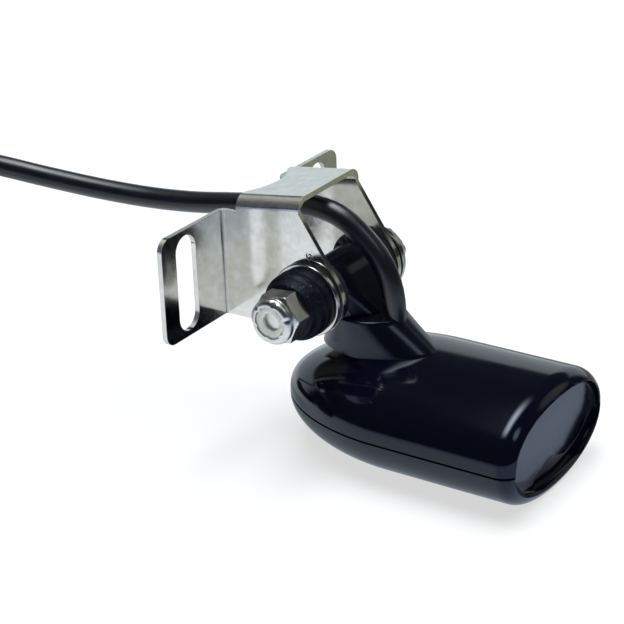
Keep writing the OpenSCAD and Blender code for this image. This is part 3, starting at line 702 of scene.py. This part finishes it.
FINISHES = {
    "stainless": stainless(),
    "washer_steel": bright_steel("washer_steel", (0.62, 0.62, 0.60), 0.12, 0.24),
    "hardware": bright_steel("hardware", (0.74, 0.73, 0.71), 0.27, 0.38),
    "ratchet": soft_black("ratchet", (0.012, 0.012, 0.014), 0.3, 0.45, 0.4, 0.01),
    "nylon_black": soft_black("nylon_black", (0.014, 0.014, 0.016), 0.35, 0.5, 0.4, 0.01),
    "nylon_white": plain("nylon_white", (0.74, 0.80, 0.74), 0.28, 0.42, 0.5, 0.008, 0.06),
    "rubber": soft_black("rubber", (0.0022, 0.0028, 0.0056), 0.42, 0.58, 0.3, 0.03, 0.12, 0.2),
    "housing": black_shell("gloss_housing", (0.0018, 0.0022, 0.0068), 0.07, 0.12),
    "potting": plain("potting", (0.16, 0.10, 0.05), 0.3, 0.5),
    "ceramic": plain("ceramic", (0.72, 0.66, 0.52), 0.5, 0.7),
    "cork": plain("cork", (0.55, 0.38, 0.22), 0.8, 0.9, 0.8, 0.15, 0.6),
    "wire_red": plain("wire_red", (0.45, 0.04, 0.03), 0.4, 0.5),
    "wire_grey": plain("wire_grey", (0.25, 0.25, 0.26), 0.4, 0.5),
    "sensor": plain("sensor", (0.10, 0.12, 0.06), 0.3, 0.5),
    "cable_jacket": jacket(),
    "tie": soft_black("tie", (0.03, 0.03, 0.034), 0.7, 0.9, 0.5, 0.12),
    "plug": soft_black("plug", (0.016, 0.016, 0.018), 0.34, 0.5, 0.35, 0.012),
    "pin_gold": plain("pin_gold", (0.80, 0.60, 0.25), 0.2, 0.3, metallic=1.0),
}
NECK_FINISH = black_shell("satin_neck", (0.0026, 0.0033, 0.0080), 0.15, 0.22)
BELLY_FINISH = black_shell("satin_belly", (0.0050, 0.0070, 0.0120), 0.16, 0.24)
# Darker, weakly mirroring finish for the tail's wavy fillet: painted shade
SHADED_FILLET_FINISH = black_shell("fillet_painted_shade", (0.0020, 0.0024, 0.0060), 0.05, 0.10, 0.12)

for entry in frame["record"]["subparts"]:
    node = nodes[entry["node"]]
    node.data.materials.clear()
    node.data.materials.append(FINISHES[entry["material_slot"]])


# Pieces

moulding = joined([upper_shell_part(), neck_part(), barrel_part()], [bore_part()])
upper = piece("upper_shell", [moulding], "transducer", "housing", ["upper_housing"])
upper.data.materials.append(NECK_FINISH)
for face in upper.data.polygons:
    face.material_index = int(above_crown(face.center / MM - PIVOT))

belly = lower_shell_part()
end_wall, shaded_fillet_faces = end_wall_part()
lower = piece("lower_shell", [belly, end_wall], "transducer", "housing", ["lower_housing"],
              finish=BELLY_FINISH)
# The fillet's faces are painted darker and mirror less: painted shade
lower.data.materials.append(SHADED_FILLET_FINISH)
for face, dark in zip(lower.data.polygons[len(belly[1]):], shaded_fillet_faces):
    face.material_index = int(dark)
soften(lower, SHELL_EDGE)

refine_sheet(nodes["bracket"], SHEET_EDGE)

nut = turned(on_axis(-1, NUT_AT, NUT_TURN), nut_profile(), 144, nut_shape)
piece("nut", [nut], "bracket", "hardware", ["lock_nut"], sharp=20)
insert = turned(on_axis(-1, NUT_AT + NUT_HEX_H), insert_profile())
piece("insert", [insert], "bracket", "nylon_white", ["nut_insert"])
piece("bolt", bolt_parts(), "bracket", "hardware", ["pivot_bolt"], sharp=25)

# Washers: piece, node, finish, side, distance from the arm, radius, thickness, edge and bulge
RINGS = [("washer_near", "nut_washer", "washer_steel", -1, SLIP_T, 8.9, WASHER_T, 0.25, 0.0),
         ("washer_far", "head_washer", "washer_steel", 1, RUBBER_FAR_T, 8.6, WASHER_T, 0.25, 0.0),
         ("slip_ring", "slip_washer", "nylon_black", -1, 0.0, 8.4, SLIP_T, 0.2, 0.0),
         ("rubber_inner", "rubber_washer_inner", "rubber", -1, RUBBER_INNER_AT, 8.15, RUBBER_INNER_T,
          0.5, 0.1),
         ("rubber_far", "head_rubber_washer", "rubber", 1, 0.0, 8.2, RUBBER_FAR_T, 0.4, 0.1)]
for name, node, slot, side, distance, r, t, edge, bulge in RINGS:
    ring = turned(on_axis(side, distance), rounded_section(HOLE_R, r, t, edge, bulge), 96)
    piece(name, [ring], "bracket", slot, [node])
taper = turned(on_axis(-1, RUBBER_OUTER_AT), taper_profile(), 96)
piece("rubber_outer", [taper], "bracket", "rubber", ["rubber_washer_outer"])

path = cable_path()
length_m = sum((b - a).length for a, b in zip(path, path[1:])) * MM
cable = piece("cable_run", [tube_part(path, CABLE_D)], None, "cable_jacket",
              ["cable", "cable_coil", "cable_tail"])
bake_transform(cable)


# Studio, in metres. The tones are what the part mirrors
FLOOR_X, FLOOR_Y, FLOOR_COLOR = (-0.7, 0.8), (-0.6, 0.9), (0.85, 0.86, 0.88)
FLOOR_SEEN_GLOW, FLOOR_MIRRORED_GLOW = 0.65, 0.9
# The floor's tones in mirrors are a painted pool of light: bright near the part, duller in front, behind and
# to the right
SHEET_TONE, FRONT_TONE, BACK_TONE = (1.02, 1.08, 1.16), (0.40, 0.50, 0.72), (0.18, 0.19, 0.11)
SHEET_FRONT, SHEET_BACK, SHEET_LEFT, BACK_SLANT = (-0.19, -0.12), (0.01, 0.09), (-0.08, 0.02), 0.3
RIGHT_TONE, SHEET_RIGHT = (0.61, 0.72, 0.95), (0.065, 0.09)
# Painted shadow on the mirrored floor under the part: its tone, its half width across Y and where it starts
# along X
UNDER_SHADOW_TONE, UNDER_HALF, UNDER_FROM = (0.42, 0.49, 0.58), (0.012, 0.034), (-0.045, -0.02)
ROOM_TONE = (0.028, 0.030, 0.032)
STRIP_TONE, STRIP_X, STRIP_HALF = (11.0, 11.4, 11.6), -0.12, 0.27
STRIP_FRONT, STRIP_BACK = (-0.46, -0.1), (0.2, 0.66)
WALL_TONE, WALL_SPAN, WALL_TOP = (0.77, 0.86, 0.91), (-138, 46, 58), (21, 23)
SCREENS = [(-100, 40, 6, 26, (0.14, 0.15, 0.11)), (148, 27, 7, 14, (0.42, 0.43, 0.37)),
           (85, 54, 2, 13, (2.0, 2.2, 2.4))]
LAMP_WAY, LAMP_DISTANCE, LAMP_SIZE, LAMP_POWER = (0.1, 0.1, 1), 1.0, 1.3, 10
WHITE = (1, 1, 1)


def heading(azimuth, elevation):
    """Direction at an azimuth, counted from -Y towards +X, and an elevation, in degrees."""
    a, e = math.radians(azimuth), math.radians(elevation)
    return Vector((math.sin(a) * math.cos(e), -math.cos(a) * math.cos(e), math.sin(e)))


def make_lamp():
    """Wide soft panel above the part, which its surfaces don't mirror."""
    data = bpy.data.lights.new("overhead", "AREA")
    data.shape = "RECTANGLE"
    data.size = data.size_y = LAMP_SIZE
    data.energy = LAMP_POWER
    lamp = linked("overhead", data)
    way = Vector(LAMP_WAY).normalized()
    across = way.cross(Vector((0, 1, 0))).normalized()
    turn = Matrix((way.cross(across), across, way)).transposed()
    lamp.matrix_world = Matrix.Translation(PIVOT * MM + way * LAMP_DISTANCE) @ turn.to_4x4()
    lamp.visible_glossy = False


def sheet_tone(g):
    """Tones of the floor in a mirror, a painted pool of light: bright, duller in front, behind and to the
    right, with a painted shadow under the part.
    """
    x, y = g.parts(g.node("TexCoord").outputs["Object"])[:2]
    front = g.spread(y, 0, 1, *SHEET_FRONT, smooth=True)
    behind = g.spread(g.math("SUBTRACT", y, g.product(x, BACK_SLANT)), 0, 1, *SHEET_BACK, smooth=True)
    corner = g.product(behind, g.spread(x, 0, 1, *SHEET_LEFT, smooth=True))
    # Painted shadow under the part, in the floor's mirrored tone
    under = g.product(g.spread(g.math("ABSOLUTE", y), 1, 0, *UNDER_HALF, smooth=True),
                      g.spread(x, 0, 1, *UNDER_FROM, smooth=True),
                      g.spread(x, 1, 0, *SHEET_RIGHT, smooth=True))
    tone = g.tint(g.spread(x, 0, 1, *SHEET_RIGHT, smooth=True), SHEET_TONE, RIGHT_TONE)
    tone = g.tint(corner, g.tint(front, FRONT_TONE, tone), BACK_TONE)
    return g.tint(under, tone, UNDER_SHADOW_TONE)


def make_floor():
    """Pale floor that keeps the shadow. In mirrors it is a bright sheet that ends a little way off."""
    mesh = bpy.data.meshes.new("floor")
    (left, right), (near, far), z = FLOOR_X, FLOOR_Y, FLOOR_Z * MM
    mesh.from_pydata([(left, near, z), (right, near, z), (right, far, z), (left, far, z)], [], [(0, 1, 2, 3)])
    floor = linked("floor", mesh)
    material = bpy.data.materials.new("floor")
    mesh.materials.append(material)
    g = Graph(material)
    g.tree.nodes.clear()
    rays = g.node("LightPath").outputs
    seen = rays["Is Camera Ray"]
    mirrored = g.math("MAXIMUM", rays["Is Glossy Ray"], rays["Is Transmission Ray"])
    glow = g.fill(g.node("Emission"), {"Color": g.tint(seen, sheet_tone(g), WHITE)})
    diffuse = g.fill(g.node("BsdfDiffuse"), {"Color": FLOOR_COLOR})
    share = g.math("ADD", g.product(seen, FLOOR_SEEN_GLOW), g.product(mirrored, FLOOR_MIRRORED_GLOW))
    blend = g.fill(g.node("MixShader"), {0: share, 1: diffuse.outputs[0], 2: glow.outputs[0]})
    g.fill(g.node("OutputMaterial"), {"Surface": blend.outputs[0]})


def patch(g, way, azimuth, elevation, inner, outer):
    """Share of a soft round patch, whole within its inner angle and gone past its outer one."""
    near = g.facing(way, heading(azimuth, elevation))
    return g.spread(near, 0, 1, math.cos(math.radians(outer)), math.cos(math.radians(inner)), smooth=True)


def strip_share(g, x, y, z):
    """Share of the bright strip that runs overhead from front to back."""
    beside = g.math("ABSOLUTE", g.math("SUBTRACT", x, STRIP_X))
    return g.product(g.spread(beside, 1, 0, 0.0, STRIP_HALF, smooth=True),
                     g.spread(y, 0, 1, *STRIP_FRONT, smooth=True),
                     g.spread(y, 1, 0, *STRIP_BACK, smooth=True),
                     g.math("GREATER_THAN", z, 0.0))


def wall_share(g, way, z):
    """Share of the pale wall low down behind the part."""
    flat = g.fill(g.node("VectorMath", operation="MULTIPLY"), {0: way, 1: (1, 1, 0)})
    level = g.fill(g.node("VectorMath", operation="NORMALIZE"), {0: flat.outputs["Vector"]})
    azimuth, inner, outer = WALL_SPAN
    across = patch(g, level.outputs["Vector"], azimuth, 0, inner, outer)
    below = g.spread(z, 1, 0, *(math.sin(math.radians(e)) for e in WALL_TOP), smooth=True)
    return g.product(across, below)


def make_world():
    """White to the eye. For the part: a dark room, dull screens, a bright strip overhead and a pale wall."""
    world = bpy.data.worlds.new("studio")
    bpy.context.scene.world = world
    g = Graph(world)
    g.tree.nodes.clear()
    way = g.node("TexCoord").outputs["Generated"]
    x, y, z = g.parts(way)
    tone = ROOM_TONE
    for azimuth, elevation, inner, outer, screen in SCREENS:
        tone = g.tint(patch(g, way, azimuth, elevation, inner, outer), tone, screen)
    tone = g.tint(strip_share(g, x, y, z), tone, STRIP_TONE)
    tone = g.tint(wall_share(g, way, z), tone, WALL_TONE)
    color = g.tint(g.node("LightPath").outputs["Is Camera Ray"], tone, WHITE)
    background = g.fill(g.node("Background"), {"Color": color})
    g.fill(g.node("OutputWorld"), {"Surface": background.outputs[0]})


def make_camera():
    """Camera at the photograph's viewing angle."""
    back, level, roll = heading(AZIMUTH, ELEVATION), heading(AZIMUTH + 90, 0), math.radians(ROLL)
    rise = back.cross(level)
    right = level * math.cos(roll) + rise * math.sin(roll)
    up = rise * math.cos(roll) - level * math.sin(roll)
    data = bpy.data.cameras.new("camera")
    data.sensor_width = SENSOR
    data.lens = FOCAL_PX / FRAME_PX * SENSOR
    data.clip_start, data.clip_end = 0.01, 20
    camera = linked("camera", data)
    place = (PIVOT + back * DISTANCE - right * SIDE_SHIFT - up * RISE_SHIFT) * MM
    camera.matrix_world = Matrix.Translation(place) @ Matrix((right, up, back)).transposed().to_4x4()
    bpy.context.scene.camera = camera


make_floor()
make_world()
make_camera()
make_lamp()
bpy.context.scene.view_settings.view_transform = "Standard"
